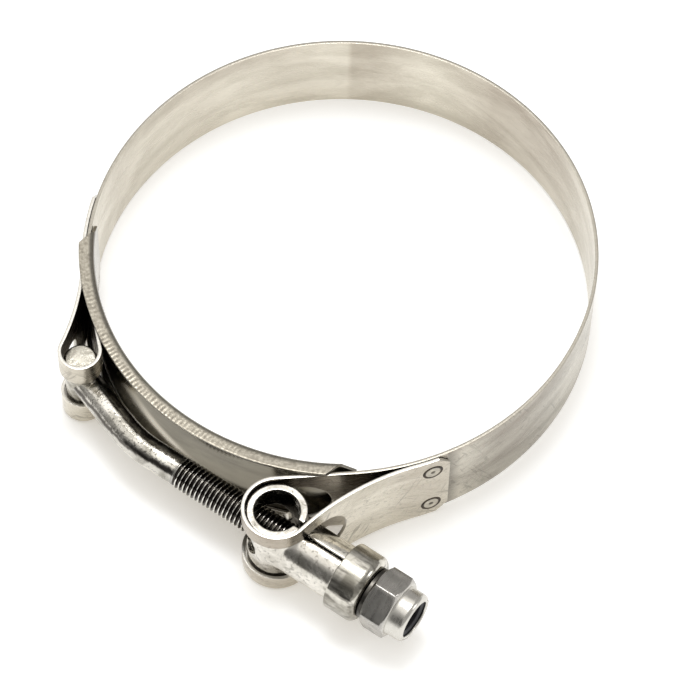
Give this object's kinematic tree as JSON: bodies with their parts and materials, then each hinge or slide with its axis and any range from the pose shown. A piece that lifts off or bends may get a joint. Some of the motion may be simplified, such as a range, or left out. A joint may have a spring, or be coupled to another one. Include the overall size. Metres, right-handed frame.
{
  "type": "t-bolt clamp",
  "caption": "Round hose clamp: a flat steel band with folded, spot-welded eyes, closed by a bent T-bolt through a swivelling trunnion, thrust cup and lock nut, over a lipped bridge plate.",
  "frame": {"origin": "centre of the bore, halfway up the band", "axes": "+Z along the bore; the bolt's thread runs along +X in front of the bore (-Y), cross head at -X and nut at +X"},
  "size_m": [0.1018, 0.1084, 0.0206],
  "materials": {
    "band_steel": "satin rolled stainless strip",
    "bridge_steel": "satin rolled stainless strip with ribbed lips",
    "bolt_steel": "bright rolled thread and forged shank",
    "trunnion_steel": "bright pressed stainless sheet",
    "cup_steel": "bright drawn stainless",
    "nut_steel": "machined stainless",
    "insert_plastic": "dark moulded ring"
  },
  "bodies": {
    "band": {"band": "band_steel", "bridge": "bridge_steel"},
    "t_bolt": {"t_bolt": "bolt_steel"},
    "trunnion": {"trunnion": "trunnion_steel"},
    "thrust_cup": {"thrust_cup": "cup_steel"},
    "lock_nut": {"lock_nut": "nut_steel", "nut_insert": "insert_plastic"}
  },
  "joints": [
    {"name": "t_bolt_swing", "type": "hinge", "parent": "band", "child": "t_bolt", "pos_m": [-0.0267, -0.0478, 0], "axis": [0, 0, 1], "range_deg": [-0.6, 0.6]},
    {"name": "trunnion_swivel", "type": "hinge", "parent": "band", "child": "trunnion", "pos_m": [0.0227, -0.0535, 0], "axis": [0, 0, 1], "range_deg": [-2.1, 2.1]},
    {"name": "cup_slide", "type": "slide", "parent": "t_bolt", "child": "thrust_cup", "axis": [1, 0, 0], "range_m": [0, 0.00454]},
    {"name": "nut_turn", "type": "hinge", "parent": "thrust_cup", "child": "lock_nut", "pos_m": [0.048, -0.0535, 0], "axis": [1, 0, 0], "range_deg": [0, 1800]}
  ],
  "couplings": [
    {"joint": "trunnion_swivel", "follows": "t_bolt_swing", "ratio": 3.5},
    {"joint": "cup_slide", "follows": "nut_turn", "m_per_rad": 0.00014438}
  ]
}
